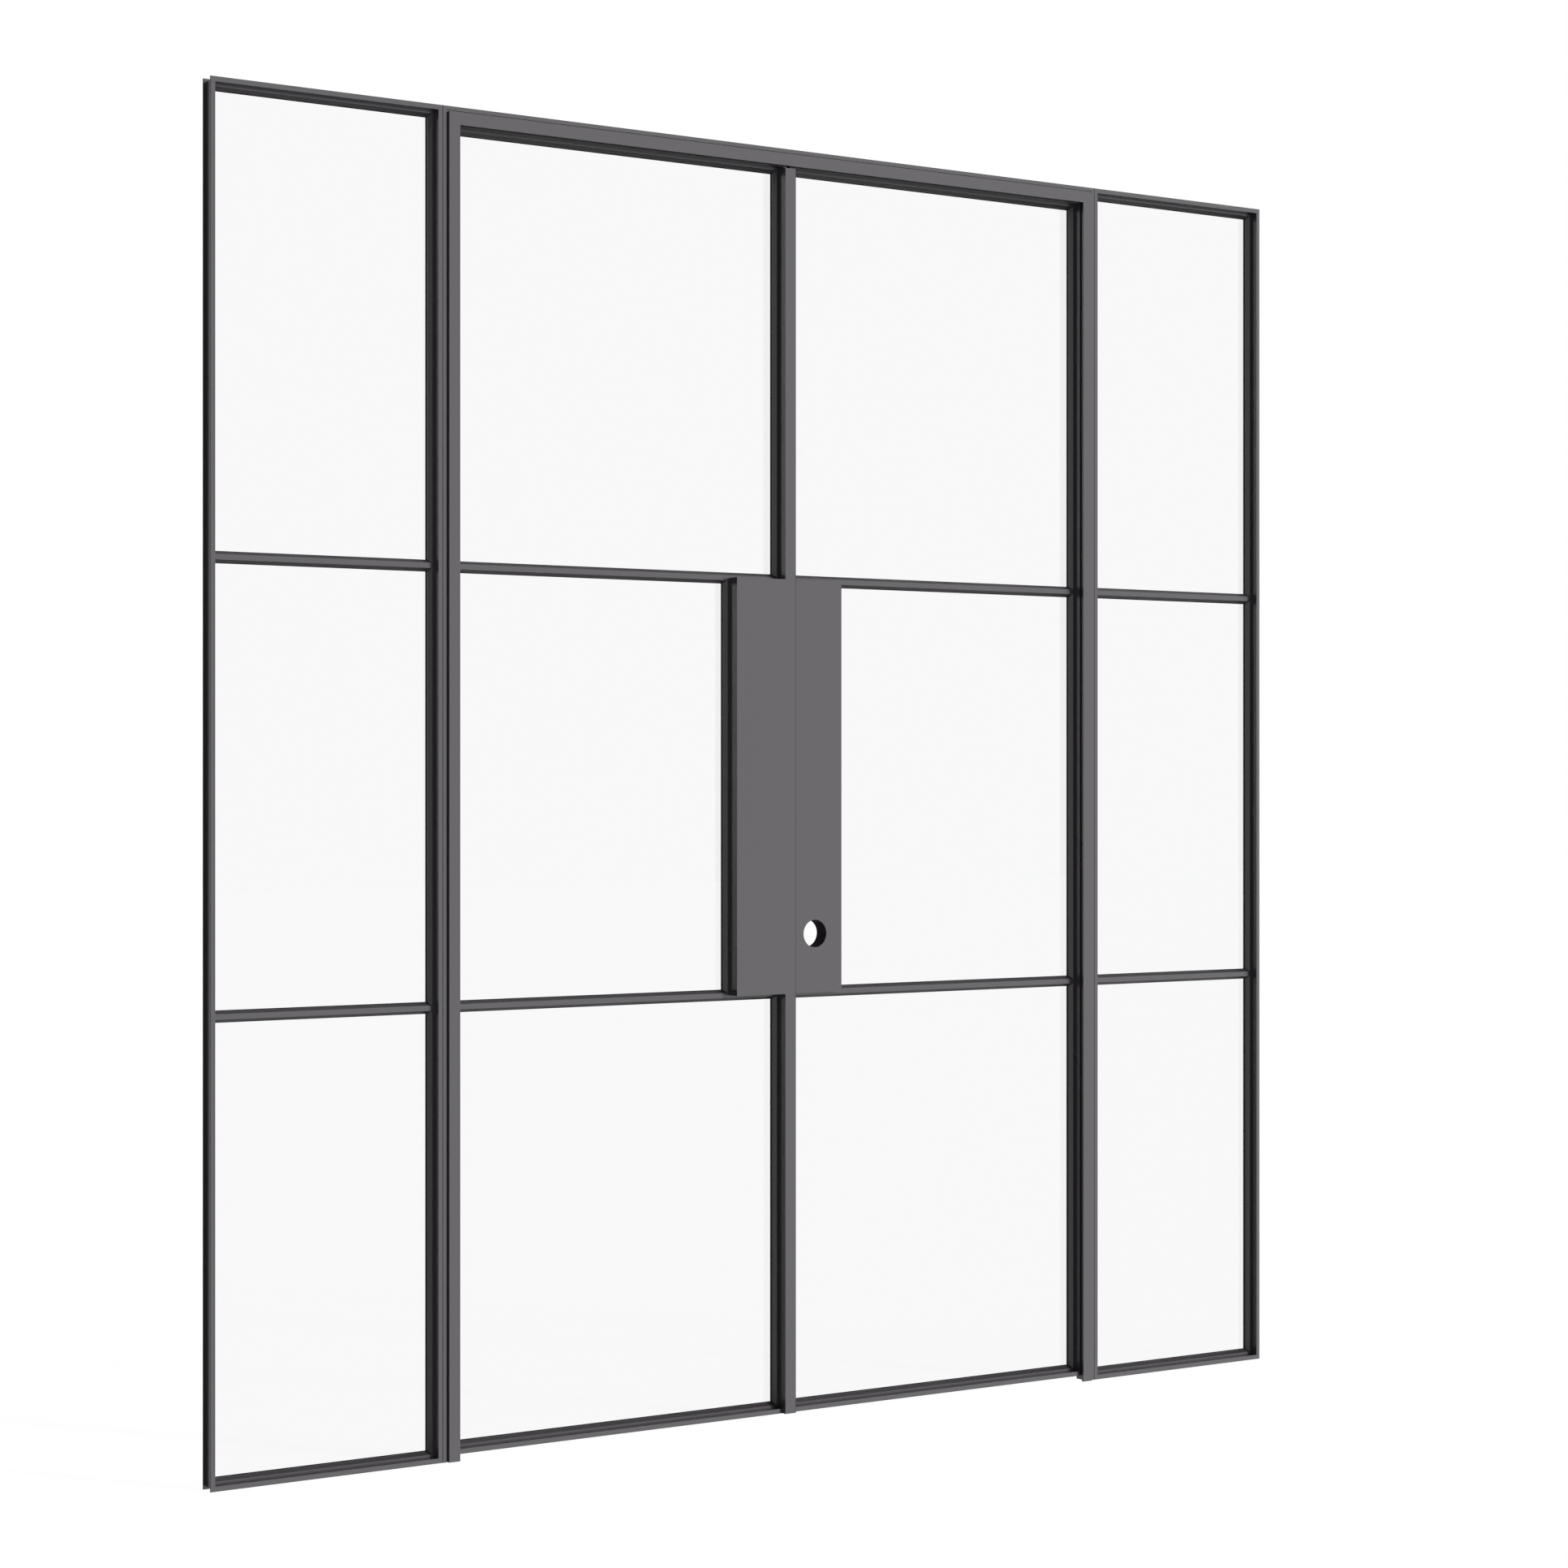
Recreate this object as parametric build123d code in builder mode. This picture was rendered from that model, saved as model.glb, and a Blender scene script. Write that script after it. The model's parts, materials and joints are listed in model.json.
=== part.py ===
"""Interior steel-look glazed double doors between two fixed sidelights.

Millimetres, +Z up, +X to the right and +Y away from the viewer.
The origin is at floor level, at the centre of the left jamb's foot.
The leaves hang behind the stops and open away from the viewer.
"""
import os

from build123d import *

os.makedirs("parts", exist_ok=True)

# Overall sizes
HEIGHT = 2464.0
DOOR_UNIT_WIDTH = 1524.0
SIDELIGHT_WIDTH = 457.2

# Glazed section, seen from its outer edge inwards and from its front back
EDGE_EASE = 0.8
FACE_WIDTH = 9.0
FLANGE_DEPTH = 15.5
SHOULDER_WIDTH = 5.2
BEVEL_WIDTH = 5.0
BEVEL_DEPTH = 7.5
BEAD_EDGE_DEPTH = 4.5
GLASS_THICKNESS = 4.0
BACK_LIP_THICKNESS = 1.5
GROOVE_DEPTH = 6.0
PANE_PLAY = 1.0

# Channel in the sides that stand against the wall
CHANNEL_DEPTH = 5.4
CHANNEL_FRONT_FLANGE = 2.0
CHANNEL_BACK_FLANGE = 3.0

# Glazing bars
BAR_FACE_HEIGHT = 9.8
BAR_MIDDLE_HEIGHT = 1227.0
BAR_SPACING = 804.0

# Door frame
JAMB_WIDTH = 20.4
JAMB_LIP_WIDTH = 7.4
JAMB_GROOVE_DEPTH = 2.0
STOP_INSET = 10.4
STOP_WIDTH = 22.6
STOP_THICKNESS = 5.0

# Leaves and their running gaps
LEAF_GAP = 5.0
MEETING_GAP = 5.0
LEAF_SETBACK = 5.0
FLOOR_GAP = 11.0

# Meeting bar on the left leaf
MEETING_BAR_COVER = 11.3
MEETING_BAR_LAP = 12.5
MEETING_BAR_LAP_THICKNESS = 5.0
MEETING_BAR_TOP_GAP = 5.0

# Lock boxes and the handle's bore
LOCK_BOX_WIDTH = 123.5
BORE_DIAMETER = 54.0
BORE_BACKSET = 60.3
BORE_ABOVE_LOWER_BAR = 115.0

# Hinges
HINGE_HEIGHT = 100.0
HINGE_FROM_LEAF_BOTTOM = 249.0
HINGE_FROM_LEAF_TOP = 244.6
HINGE_PLATE_THICKNESS = 2.0
HINGE_PLATE_FRONT = 10.0
KNUCKLE_RADIUS = 5.5
KNUCKLE_HEIGHT = 33.0
KNUCKLE_TO_LEAF = 0.5
PLATE_TO_KNUCKLE = 0.7
PIN_RADIUS = 3.0
PIN_CLEARANCE = 0.25

# Extra reach of the tools that trim a piece
TRIM = 1.0

# Depths worked out from the section
bevel_back = FLANGE_DEPTH + BEVEL_DEPTH
glass_front = bevel_back + BEAD_EDGE_DEPTH
glass_back = glass_front + GLASS_THICKNESS
depth = glass_back + BACK_LIP_THICKNESS
sight_width = FACE_WIDTH + SHOULDER_WIDTH + BEVEL_WIDTH
groove_floor = sight_width - GROOVE_DEPTH
pane_inset = groove_floor + PANE_PLAY
bar_height = BAR_FACE_HEIGHT + 2 * BEVEL_WIDTH
lower_bar_z = BAR_MIDDLE_HEIGHT - BAR_SPACING / 2
upper_bar_z = BAR_MIDDLE_HEIGHT + BAR_SPACING / 2

# Places worked out from the overall sizes
frame_front = -depth / 2
leaf_front = frame_front + LEAF_SETBACK
leaf_back = leaf_front + depth
unit_left = -JAMB_WIDTH / 2
unit_right = unit_left + DOOR_UNIT_WIDTH
unit_middle = (unit_left + unit_right) / 2
leaf_top = HEIGHT - JAMB_WIDTH - LEAF_GAP
stop_inner = STOP_INSET + STOP_WIDTH
meeting_bar_thickness = LEAF_SETBACK + STOP_THICKNESS
bore_z = lower_bar_z + BORE_ABOVE_LOWER_BAR
low_hinge_z = FLOOR_GAP + HINGE_FROM_LEAF_BOTTOM
high_hinge_z = leaf_top - HINGE_FROM_LEAF_TOP
hinge_heights = (low_hinge_z, (low_hinge_z + high_hinge_z) / 2, high_hinge_z)


def glazed_section(channelled):
    """Outline of a stile or rail: inwards from its outer edge, and back from its front."""
    outer_side = [(EDGE_EASE, 0), (0, EDGE_EASE)]
    if channelled:
        outer_side += [
            (0, CHANNEL_FRONT_FLANGE),
            (CHANNEL_DEPTH, CHANNEL_FRONT_FLANGE),
            (CHANNEL_DEPTH, depth - CHANNEL_BACK_FLANGE),
            (0, depth - CHANNEL_BACK_FLANGE),
        ]
    outer_side += [(0, depth)]
    return outer_side + glass_side(FACE_WIDTH)[::-1]


def glass_side(face_end):
    """Stepped and bevelled side that holds the glass, from the front face to the back."""
    sight = face_end + SHOULDER_WIDTH + BEVEL_WIDTH
    return [
        (face_end, 0),
        (face_end, FLANGE_DEPTH),
        (face_end + SHOULDER_WIDTH, FLANGE_DEPTH),
        (sight, bevel_back),
        (sight, glass_front),
        (sight - GROOVE_DEPTH, glass_front),
        (sight - GROOVE_DEPTH, glass_back),
        (sight, glass_back),
        (sight, depth),
    ]


def jamb_section():
    """Outline of a jamb or head, with a shallow groove between its lip and its stop."""
    return [
        (0, EDGE_EASE),
        (EDGE_EASE, 0),
        (JAMB_LIP_WIDTH, 0),
        (JAMB_LIP_WIDTH, JAMB_GROOVE_DEPTH),
        (STOP_INSET, JAMB_GROOVE_DEPTH),
        (STOP_INSET, 0),
        (JAMB_WIDTH, 0),
        (JAMB_WIDTH, depth),
        (0, depth),
    ]


def stop_section():
    """Outline of the flat stop that is planted on a jamb or on the head."""
    return [
        (STOP_INSET, -STOP_THICKNESS),
        (stop_inner, -STOP_THICKNESS),
        (stop_inner, 0),
        (STOP_INSET, 0),
    ]


def save(part, name):
    part.label = name
    export_step(part, f"parts/{name}.step")


def member(name, plane, length, outline, mitred_start=True, mitred_end=True):
    """A length of a section along the plane's normal, mitred at 45 degrees where it is joined."""
    reach = max(inward for inward, back in outline) + TRIM
    front = min(back for inward, back in outline) - TRIM
    back = max(back for inward, back in outline) + TRIM
    side_view = Plane(origin=plane.origin, x_dir=plane.x_dir, z_dir=plane.y_dir).offset(front)
    start_inner = -reach if mitred_start else TRIM
    start_outer = TRIM
    end_inner = reach - length if mitred_end else -length - TRIM
    end_outer = -length - TRIM
    with BuildPart() as piece:
        with BuildSketch(plane):
            with BuildLine():
                Polyline(*outline, close=True)
            make_face()
        extrude(amount=length)
        with BuildSketch(side_view):
            with BuildLine():
                Polyline(
                    (-TRIM, start_outer),
                    (reach, start_inner),
                    (reach, end_inner),
                    (-TRIM, end_outer),
                    close=True,
                )
            make_face()
        extrude(amount=back - front, mode=Mode.INTERSECT)
    save(piece.part, name)


def going_up(left, bottom, front):
    """Plane of a left stile's section: it rises and faces right."""
    return Plane(origin=(left, front, bottom), x_dir=(1, 0, 0), z_dir=(0, 0, 1))


def going_right(left, top, front):
    """Plane of a top rail's section: it runs right and faces down."""
    return Plane(origin=(left, front, top), x_dir=(0, 0, -1), z_dir=(1, 0, 0))


def going_down(right, top, front):
    """Plane of a right stile's section: it falls and faces left."""
    return Plane(origin=(right, front, top), x_dir=(-1, 0, 0), z_dir=(0, 0, -1))


def going_left(right, bottom, front):
    """Plane of a bottom rail's section: it runs left and faces up."""
    return Plane(origin=(right, front, bottom), x_dir=(0, 0, 1), z_dir=(-1, 0, 0))


def glazing_bar(name, left, right, front, middle_z):
    """A bar between two stiles, bevelled above and below, its ends coped to the stiles' bevels."""
    half_face = BAR_FACE_HEIGHT / 2
    half_bar = bar_height / 2
    half_web = half_bar - GROOVE_DEPTH
    upper_half = [
        (half_face, FLANGE_DEPTH),
        (half_bar, bevel_back),
        (half_bar, glass_front),
        (half_web, glass_front),
        (half_web, glass_back),
        (half_bar, glass_back),
        (half_bar, depth),
    ]
    lower_half = [(-up, back) for up, back in upper_half]
    shoulder_end = FACE_WIDTH + SHOULDER_WIDTH
    left_end = [(left + shoulder_end, FLANGE_DEPTH), (left + sight_width, bevel_back)]
    left_end += [(left + sight_width, depth)]
    right_end = [(left + right - across, back) for across, back in left_end]
    with BuildPart() as piece:
        with BuildSketch(Plane(origin=(left, front, middle_z), x_dir=(0, 0, -1), z_dir=(1, 0, 0))):
            with BuildLine():
                Polyline(*upper_half, *lower_half[::-1], close=True)
            make_face()
        extrude(amount=right - left)
        with BuildSketch(Plane(origin=(0, front, middle_z - half_bar - TRIM))):
            with BuildLine():
                Polyline(*left_end, *right_end[::-1], close=True)
            make_face()
        extrude(amount=bar_height + 2 * TRIM, mode=Mode.INTERSECT)
    save(piece.part, name)


def glass(name, front, panes):
    """Three panes, each held in the grooves round its opening."""
    with BuildPart() as piece:
        for low_x, low_z, high_x, high_z in panes:
            corner = Plane(origin=(low_x, front + glass_front, low_z))
            with Locations(corner):
                Box(
                    high_x - low_x,
                    GLASS_THICKNESS,
                    high_z - low_z,
                    align=(Align.MIN, Align.MIN, Align.MIN),
                )
    save(piece.part, name)


def pane_rows(bottom, top):
    """Lowest and highest edges of the lower, middle and upper panes."""
    into_bar = bar_height / 2 - GROOVE_DEPTH + PANE_PLAY
    return [
        (bottom + pane_inset, lower_bar_z - into_bar),
        (lower_bar_z + into_bar, upper_bar_z - into_bar),
        (upper_bar_z + into_bar, top - pane_inset),
    ]


def sidelight(side, left, right, wall_on_left):
    """A fixed light: a mitred frame, two glazing bars and three panes."""
    wall_side = glazed_section(channelled=True)
    jamb_side = glazed_section(channelled=False)
    left_outline = wall_side if wall_on_left else jamb_side
    right_outline = jamb_side if wall_on_left else wall_side
    left_name = "outer_stile" if wall_on_left else "inner_stile"
    right_name = "inner_stile" if wall_on_left else "outer_stile"
    width = right - left
    prefix = f"{side}_sidelight"
    member(f"{prefix}_{left_name}", going_up(left, 0, frame_front), HEIGHT, left_outline)
    member(f"{prefix}_top_rail", going_right(left, HEIGHT, frame_front), width, wall_side)
    member(f"{prefix}_{right_name}", going_down(right, HEIGHT, frame_front), HEIGHT, right_outline)
    member(f"{prefix}_bottom_rail", going_left(right, 0, frame_front), width, wall_side)
    glazing_bar(f"{prefix}_lower_bar", left, right, frame_front, lower_bar_z)
    glazing_bar(f"{prefix}_upper_bar", left, right, frame_front, upper_bar_z)
    panes = [
        (left + pane_inset, low, right - pane_inset, high) for low, high in pane_rows(0, HEIGHT)
    ]
    glass(f"{prefix}_glass", frame_front, panes)


def three_sides(left_name, head_name, right_name, outline):
    """Two uprights and the piece over them, mitred above and cut square at the floor."""
    left_plane = going_up(unit_left, 0, frame_front)
    head_plane = going_right(unit_left, HEIGHT, frame_front)
    right_plane = going_down(unit_right, HEIGHT, frame_front)
    member(left_name, left_plane, HEIGHT, outline, mitred_start=False)
    member(head_name, head_plane, DOOR_UNIT_WIDTH, outline)
    member(right_name, right_plane, HEIGHT, outline, mitred_end=False)


def lock_box(name, meeting_edge, into_leaf, proud, bored):
    """A deep box on the meeting stile, between the glazing bars, with a glazed outer side."""
    first_edge = [(FACE_WIDTH, FLANGE_DEPTH), (FACE_WIDTH, 0)]
    if proud:
        first_edge += [(MEETING_BAR_COVER, 0), (MEETING_BAR_COVER, -proud)]
    outer_side = glass_side(LOCK_BOX_WIDTH)
    outer_side[0] = (LOCK_BOX_WIDTH, -proud)
    against_stile = [(sight_width, depth), (sight_width, bevel_back)]
    against_stile += [(FACE_WIDTH + SHOULDER_WIDTH, FLANGE_DEPTH)]
    plan = [
        (meeting_edge + into_leaf * inward, back)
        for inward, back in first_edge + outer_side + against_stile
    ]
    lower_end = [
        (lower_bar_z, -proud - TRIM),
        (lower_bar_z, FLANGE_DEPTH),
        (lower_bar_z + BAR_FACE_HEIGHT / 2, FLANGE_DEPTH),
        (lower_bar_z + bar_height / 2, bevel_back),
        (lower_bar_z + bar_height / 2, depth + TRIM),
    ]
    upper_end = [(2 * BAR_MIDDLE_HEIGHT - up, back) for up, back in lower_end]
    full_width = LOCK_BOX_WIDTH + sight_width + 2 * TRIM
    left_of_box = min(meeting_edge - TRIM, meeting_edge + into_leaf * full_width)
    with BuildPart() as piece:
        with BuildSketch(Plane(origin=(0, leaf_front, lower_bar_z))):
            with BuildLine():
                Polyline(*plan, close=True)
            make_face()
        extrude(amount=BAR_SPACING)
        with BuildSketch(Plane(origin=(left_of_box, leaf_front, 0), x_dir=(0, 0, -1), z_dir=(1, 0, 0))):
            with BuildLine():
                Polyline(*[(-up, back) for up, back in lower_end + upper_end[::-1]], close=True)
            make_face()
        extrude(amount=full_width + TRIM, mode=Mode.INTERSECT)
        if bored:
            bore_x = meeting_edge + into_leaf * BORE_BACKSET
            with Locations(Plane(origin=(bore_x, leaf_front, bore_z), z_dir=(0, -1, 0))):
                Hole(radius=BORE_DIAMETER / 2)
    save(piece.part, name)


def meeting_bar(meeting_edge):
    """Bar on the left leaf's meeting stile that laps the right leaf and closes the gap."""
    lap_back = MEETING_BAR_LAP_THICKNESS - meeting_bar_thickness
    plan = [
        (meeting_edge - MEETING_BAR_COVER, 0),
        (meeting_edge - MEETING_BAR_COVER, -meeting_bar_thickness),
        (meeting_edge + MEETING_BAR_LAP, -meeting_bar_thickness),
        (meeting_edge + MEETING_BAR_LAP, lap_back),
        (meeting_edge, lap_back),
        (meeting_edge, 0),
    ]
    bar_top = HEIGHT - stop_inner - MEETING_BAR_TOP_GAP
    with BuildPart() as piece:
        with BuildSketch(Plane(origin=(0, leaf_front, FLOOR_GAP))):
            with BuildLine():
                Polyline(*plan, close=True)
            make_face()
        extrude(amount=bar_top - FLOOR_GAP)
    save(piece.part, "meeting_bar")


def leaf(side, left, right, hinged_on_left):
    """A swinging leaf: a mitred frame, two glazing bars, three panes and a lock box."""
    outline = glazed_section(channelled=False)
    prefix = f"{side}_leaf"
    left_name = "hinge_stile" if hinged_on_left else "meeting_stile"
    right_name = "meeting_stile" if hinged_on_left else "hinge_stile"
    width = right - left
    tall = leaf_top - FLOOR_GAP
    member(f"{prefix}_{left_name}", going_up(left, FLOOR_GAP, leaf_front), tall, outline)
    member(f"{prefix}_top_rail", going_right(left, leaf_top, leaf_front), width, outline)
    member(f"{prefix}_{right_name}", going_down(right, leaf_top, leaf_front), tall, outline)
    member(f"{prefix}_bottom_rail", going_left(right, FLOOR_GAP, leaf_front), width, outline)
    glazing_bar(f"{prefix}_lower_bar", left, right, leaf_front, lower_bar_z)
    glazing_bar(f"{prefix}_upper_bar", left, right, leaf_front, upper_bar_z)
    lower, middle, upper = pane_rows(FLOOR_GAP, leaf_top)
    beside_box = LOCK_BOX_WIDTH + pane_inset - FACE_WIDTH
    middle_left = left + (pane_inset if hinged_on_left else beside_box)
    middle_right = right - (beside_box if hinged_on_left else pane_inset)
    panes = [
        (left + pane_inset, lower[0], right - pane_inset, lower[1]),
        (middle_left, middle[0], middle_right, middle[1]),
        (left + pane_inset, upper[0], right - pane_inset, upper[1]),
    ]
    glass(f"{prefix}_glass", leaf_front, panes)


def hinge_block(near, far, front, back, low, high):
    """A plain block between two X planes, two depths and two heights."""
    middle = ((near + far) / 2, (front + back) / 2, (low + high) / 2)
    with Locations(middle):
        Box(abs(far - near), back - front, high - low)


def hinge_halves(side, jamb_face, into_leaf):
    """Three butt hinges: plates in the gap, knuckles behind the leaf, and a pin through them."""
    pin_x = jamb_face + into_leaf * LEAF_GAP / 2
    pin_y = leaf_back + KNUCKLE_TO_LEAF + KNUCKLE_RADIUS
    plate_front = frame_front + HINGE_PLATE_FRONT
    plate_back = pin_y - KNUCKLE_RADIUS - PLATE_TO_KNUCKLE
    outer_knuckle = (HINGE_HEIGHT - KNUCKLE_HEIGHT) / 2
    jamb_plate_side = jamb_face + into_leaf * HINGE_PLATE_THICKNESS
    leaf_edge = jamb_face + into_leaf * LEAF_GAP
    leaf_plate_side = leaf_edge - into_leaf * HINGE_PLATE_THICKNESS

    with BuildPart() as jamb_half:
        for middle_z in hinge_heights:
            low = middle_z - HINGE_HEIGHT / 2
            high = middle_z + HINGE_HEIGHT / 2
            hinge_block(jamb_face, jamb_plate_side, plate_front, plate_back, low, high)
            for knuckle_z in (middle_z - outer_knuckle, middle_z + outer_knuckle):
                end_low = knuckle_z - KNUCKLE_HEIGHT / 2
                end_high = knuckle_z + KNUCKLE_HEIGHT / 2
                hinge_block(jamb_face, jamb_plate_side, plate_back, pin_y, end_low, end_high)
                with Locations((pin_x, pin_y, knuckle_z)):
                    Cylinder(KNUCKLE_RADIUS, KNUCKLE_HEIGHT)
            with Locations((pin_x, pin_y, middle_z)):
                Cylinder(PIN_RADIUS, HINGE_HEIGHT)
    save(jamb_half.part, f"{side}_jamb_hinge_halves")

    knuckle_gap = (HINGE_HEIGHT - 3 * KNUCKLE_HEIGHT) / 2
    middle_knuckle = HINGE_HEIGHT - 2 * (KNUCKLE_HEIGHT + knuckle_gap)
    with BuildPart() as leaf_half:
        for middle_z in hinge_heights:
            low = middle_z - HINGE_HEIGHT / 2
            high = middle_z + HINGE_HEIGHT / 2
            mid_low = middle_z - middle_knuckle / 2
            mid_high = middle_z + middle_knuckle / 2
            hinge_block(leaf_plate_side, leaf_edge, plate_front, plate_back, low, high)
            hinge_block(leaf_plate_side, leaf_edge, plate_back, pin_y, mid_low, mid_high)
            with Locations((pin_x, pin_y, middle_z)):
                Cylinder(KNUCKLE_RADIUS, middle_knuckle)
                Cylinder(PIN_RADIUS + PIN_CLEARANCE, middle_knuckle, mode=Mode.SUBTRACT)
    save(leaf_half.part, f"{side}_leaf_hinge_halves")


sidelight("left", unit_left - SIDELIGHT_WIDTH, unit_left, wall_on_left=True)
sidelight("right", unit_right, unit_right + SIDELIGHT_WIDTH, wall_on_left=False)
three_sides("left_jamb", "head", "right_jamb", jamb_section())
three_sides("left_stop", "head_stop", "right_stop", stop_section())

left_jamb_face = unit_left + JAMB_WIDTH
right_jamb_face = unit_right - JAMB_WIDTH
left_meeting_edge = unit_middle - MEETING_GAP / 2
right_meeting_edge = unit_middle + MEETING_GAP / 2
leaf("left", left_jamb_face + LEAF_GAP, left_meeting_edge, hinged_on_left=True)
leaf("right", right_meeting_edge, right_jamb_face - LEAF_GAP, hinged_on_left=False)
meeting_bar(left_meeting_edge)
lock_box("left_leaf_lock_box", left_meeting_edge, -1, proud=meeting_bar_thickness, bored=False)
lock_box("right_leaf_lock_box", right_meeting_edge, 1, proud=0, bored=True)
hinge_halves("left", left_jamb_face, 1)
hinge_halves("right", right_jamb_face, -1)
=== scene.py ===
"""Looks of the glazed double doors: paint, glass, seals, hinge screws, floor, lights and camera.

Metres, in the frame of the solids. The pieces ride on the door frame or on one of the leaves.
"""

import json
import math

import bmesh
import bpy
from bpy.props import FloatProperty, FloatVectorProperty, IntProperty, PointerProperty
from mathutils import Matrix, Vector


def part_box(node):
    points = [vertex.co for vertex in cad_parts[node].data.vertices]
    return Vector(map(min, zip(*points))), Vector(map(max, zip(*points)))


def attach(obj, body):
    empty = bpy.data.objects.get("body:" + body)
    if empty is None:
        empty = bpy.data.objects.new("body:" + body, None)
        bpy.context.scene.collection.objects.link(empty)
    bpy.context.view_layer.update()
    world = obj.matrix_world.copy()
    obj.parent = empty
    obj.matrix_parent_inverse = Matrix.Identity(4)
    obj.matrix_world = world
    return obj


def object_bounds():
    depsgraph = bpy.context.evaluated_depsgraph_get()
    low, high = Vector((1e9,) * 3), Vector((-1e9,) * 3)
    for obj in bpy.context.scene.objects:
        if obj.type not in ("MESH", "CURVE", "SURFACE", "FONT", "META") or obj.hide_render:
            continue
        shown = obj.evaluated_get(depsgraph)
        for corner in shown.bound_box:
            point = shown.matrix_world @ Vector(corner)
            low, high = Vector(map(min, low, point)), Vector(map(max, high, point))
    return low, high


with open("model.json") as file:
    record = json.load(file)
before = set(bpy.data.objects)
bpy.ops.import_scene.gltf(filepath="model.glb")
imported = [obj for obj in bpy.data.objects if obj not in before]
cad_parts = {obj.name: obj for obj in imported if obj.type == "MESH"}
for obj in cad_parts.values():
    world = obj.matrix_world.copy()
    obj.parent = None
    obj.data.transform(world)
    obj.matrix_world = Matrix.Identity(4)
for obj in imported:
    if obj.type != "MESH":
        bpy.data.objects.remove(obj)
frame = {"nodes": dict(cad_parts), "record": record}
CAD_LOW, CAD_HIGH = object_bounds()

bl_info = {
    "name": "Glazed double doors",
    "version": (1, 0, 0),
    "blender": (4, 5, 0),
    "location": "3D View > Sidebar > Doors",
    "description": "Dresses the double doors and sidelights: paint, glass, seals and screws",
    "category": "Object",
}

MM = 0.001
GLASS_IOR = 1.5
TURNED_SIDES = 24

# The photo is square. The sensor's width, in mm, only sets the scale of the lens.
PHOTO_SIDE = 1932
SENSOR_WIDTH = 36.0

# The camera's place is measured from here, and each panel's pieces ride on its body
LEFT_SIDE = CAD_LOW.x
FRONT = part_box("left_jamb")[0].y
PANELS = {
    "left_sidelight": "door_frame",
    "right_sidelight": "door_frame",
    "left_leaf": "left_leaf",
    "right_leaf": "right_leaf",
}


class DoorPaint(bpy.types.PropertyGroup):
    """Sizes and colours of the painted metal."""

    colour: FloatVectorProperty(
        name="Paint colour",
        description="Colour of the dark powder coat",
        subtype="COLOR",
        default=(0.069, 0.0636, 0.0707),
        min=0.0,
        max=1.0,
    )
    roughness: FloatProperty(
        name="Paint roughness",
        description="Roughness of the satin powder coat",
        subtype="FACTOR",
        default=0.28,
        min=0.0,
        max=1.0,
    )
    grain: FloatProperty(
        name="Grain size",
        description="Size of the powder coat's fine orange peel",
        subtype="DISTANCE",
        default=1.6 * MM,
        min=0.0001,
    )
    grain_height: FloatProperty(
        name="Grain height",
        description="Height of the powder coat's fine orange peel",
        subtype="DISTANCE",
        default=0.012 * MM,
        min=0.0,
    )
    # Width of the band along the arrises that the paint lightens, partly as wearing and partly as
    # a painted edge highlight.
    highlit_and_worn_edge: FloatProperty(
        name="Worn edge width",
        description="Width of the rubbed band along the arrises",
        subtype="DISTANCE",
        default=0.7 * MM,
        min=0.0,
    )


class DoorGlass(bpy.types.PropertyGroup):
    """Colours and sizes of the glass and its seals."""

    tint: FloatVectorProperty(
        name="Glass tint",
        description="Colour that the glass gives to what is seen through it",
        subtype="COLOR",
        default=(0.935, 0.94, 0.937),
        min=0.0,
        max=1.0,
    )
    seal_colour: FloatVectorProperty(
        name="Seal colour",
        description="Colour of the rubber seal along the glass",
        subtype="COLOR",
        default=(0.018, 0.018, 0.019),
        min=0.0,
        max=1.0,
    )
    hidden_edge: FloatProperty(
        name="Hidden glass edge",
        description="How much of each pane's edge stands in its groove",
        subtype="DISTANCE",
        default=5.0 * MM,
        min=0.0,
    )
    edge_lip: FloatProperty(
        name="Edge lip width",
        description="Width of the black lip on the meeting bar's closing edge",
        subtype="DISTANCE",
        default=0.85 * MM,
        min=0.0,
    )
    edge_lip_depth: FloatProperty(
        name="Edge lip depth",
        description="Depth of the black lip on the meeting bar's closing edge",
        subtype="DISTANCE",
        default=2.0 * MM,
        min=0.0,
    )
    seal_width: FloatProperty(
        name="Seal width",
        description="How far the seal reaches out over the glass",
        subtype="DISTANCE",
        default=0.9 * MM,
        min=0.0,
    )
    seal_height: FloatProperty(
        name="Seal height",
        description="How thick the seal's lip is",
        subtype="DISTANCE",
        default=1.1 * MM,
        min=0.0,
    )


class DoorHinges(bpy.types.PropertyGroup):
    """Sizes of the small parts on the hinges."""

    screw_radius: FloatProperty(
        name="Screw head radius",
        description="Radius of a countersunk hinge screw's head",
        subtype="DISTANCE",
        default=3.6 * MM,
        min=0.0,
    )
    screw_span: FloatProperty(
        name="Screw span",
        description="Height between the lowest and the highest screw of a plate",
        subtype="DISTANCE",
        default=72.0 * MM,
        min=0.0,
    )
    screw_stagger: FloatProperty(
        name="Screw stagger",
        description="How far every other screw stands to the back of the rest",
        subtype="DISTANCE",
        default=9.0 * MM,
        min=0.0,
    )
    plate: FloatProperty(
        name="Plate thickness",
        description="Thickness of the hinge plates of the frame",
        subtype="DISTANCE",
        default=2.0 * MM,
        min=0.0,
    )
    barrel_radius: FloatProperty(
        name="Barrel radius",
        description="Radius of the hinges' barrels",
        subtype="DISTANCE",
        default=5.5 * MM,
        min=0.0,
    )
    screws_a_plate: IntProperty(
        name="Screws a plate",
        description="Number of screws in each hinge plate",
        default=3,
        min=2,
    )
    cap_height: FloatProperty(
        name="Pin cap height",
        description="Height of the domed cap at each end of a hinge's barrel",
        subtype="DISTANCE",
        default=2.4 * MM,
        min=0.0,
    )


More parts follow.
